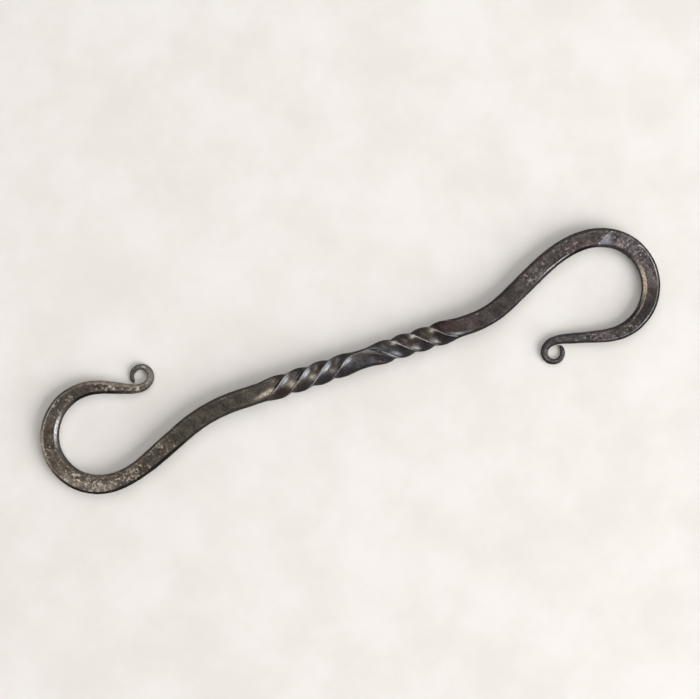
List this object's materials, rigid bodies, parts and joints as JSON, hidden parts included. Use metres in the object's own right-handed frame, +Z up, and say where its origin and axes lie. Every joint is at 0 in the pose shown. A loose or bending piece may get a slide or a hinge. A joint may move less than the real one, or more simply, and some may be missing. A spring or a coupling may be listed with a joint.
{
  "type": "s hook",
  "caption": "Hand-forged square-bar S-hook with a reverse-twisted middle, two open hooks and small curled tips.",
  "frame": {"origin": "on the surface that the hook lies on, under the middle of its own box", "axes": "+X along the twisted middle of the bar, from the left hook to the right one; +Z up, square to the flat S"},
  "size_m": [0.2562, 0.0524, 0.0096],
  "materials": {
    "forged_steel": "dark forge scale on hand-hammered mild steel, rubbed brighter on the edges and ridges, speckled tan where the scale has come off"
  },
  "bodies": {
    "root": {"s_hook": "forged_steel"}
  },
  "joints": []
}
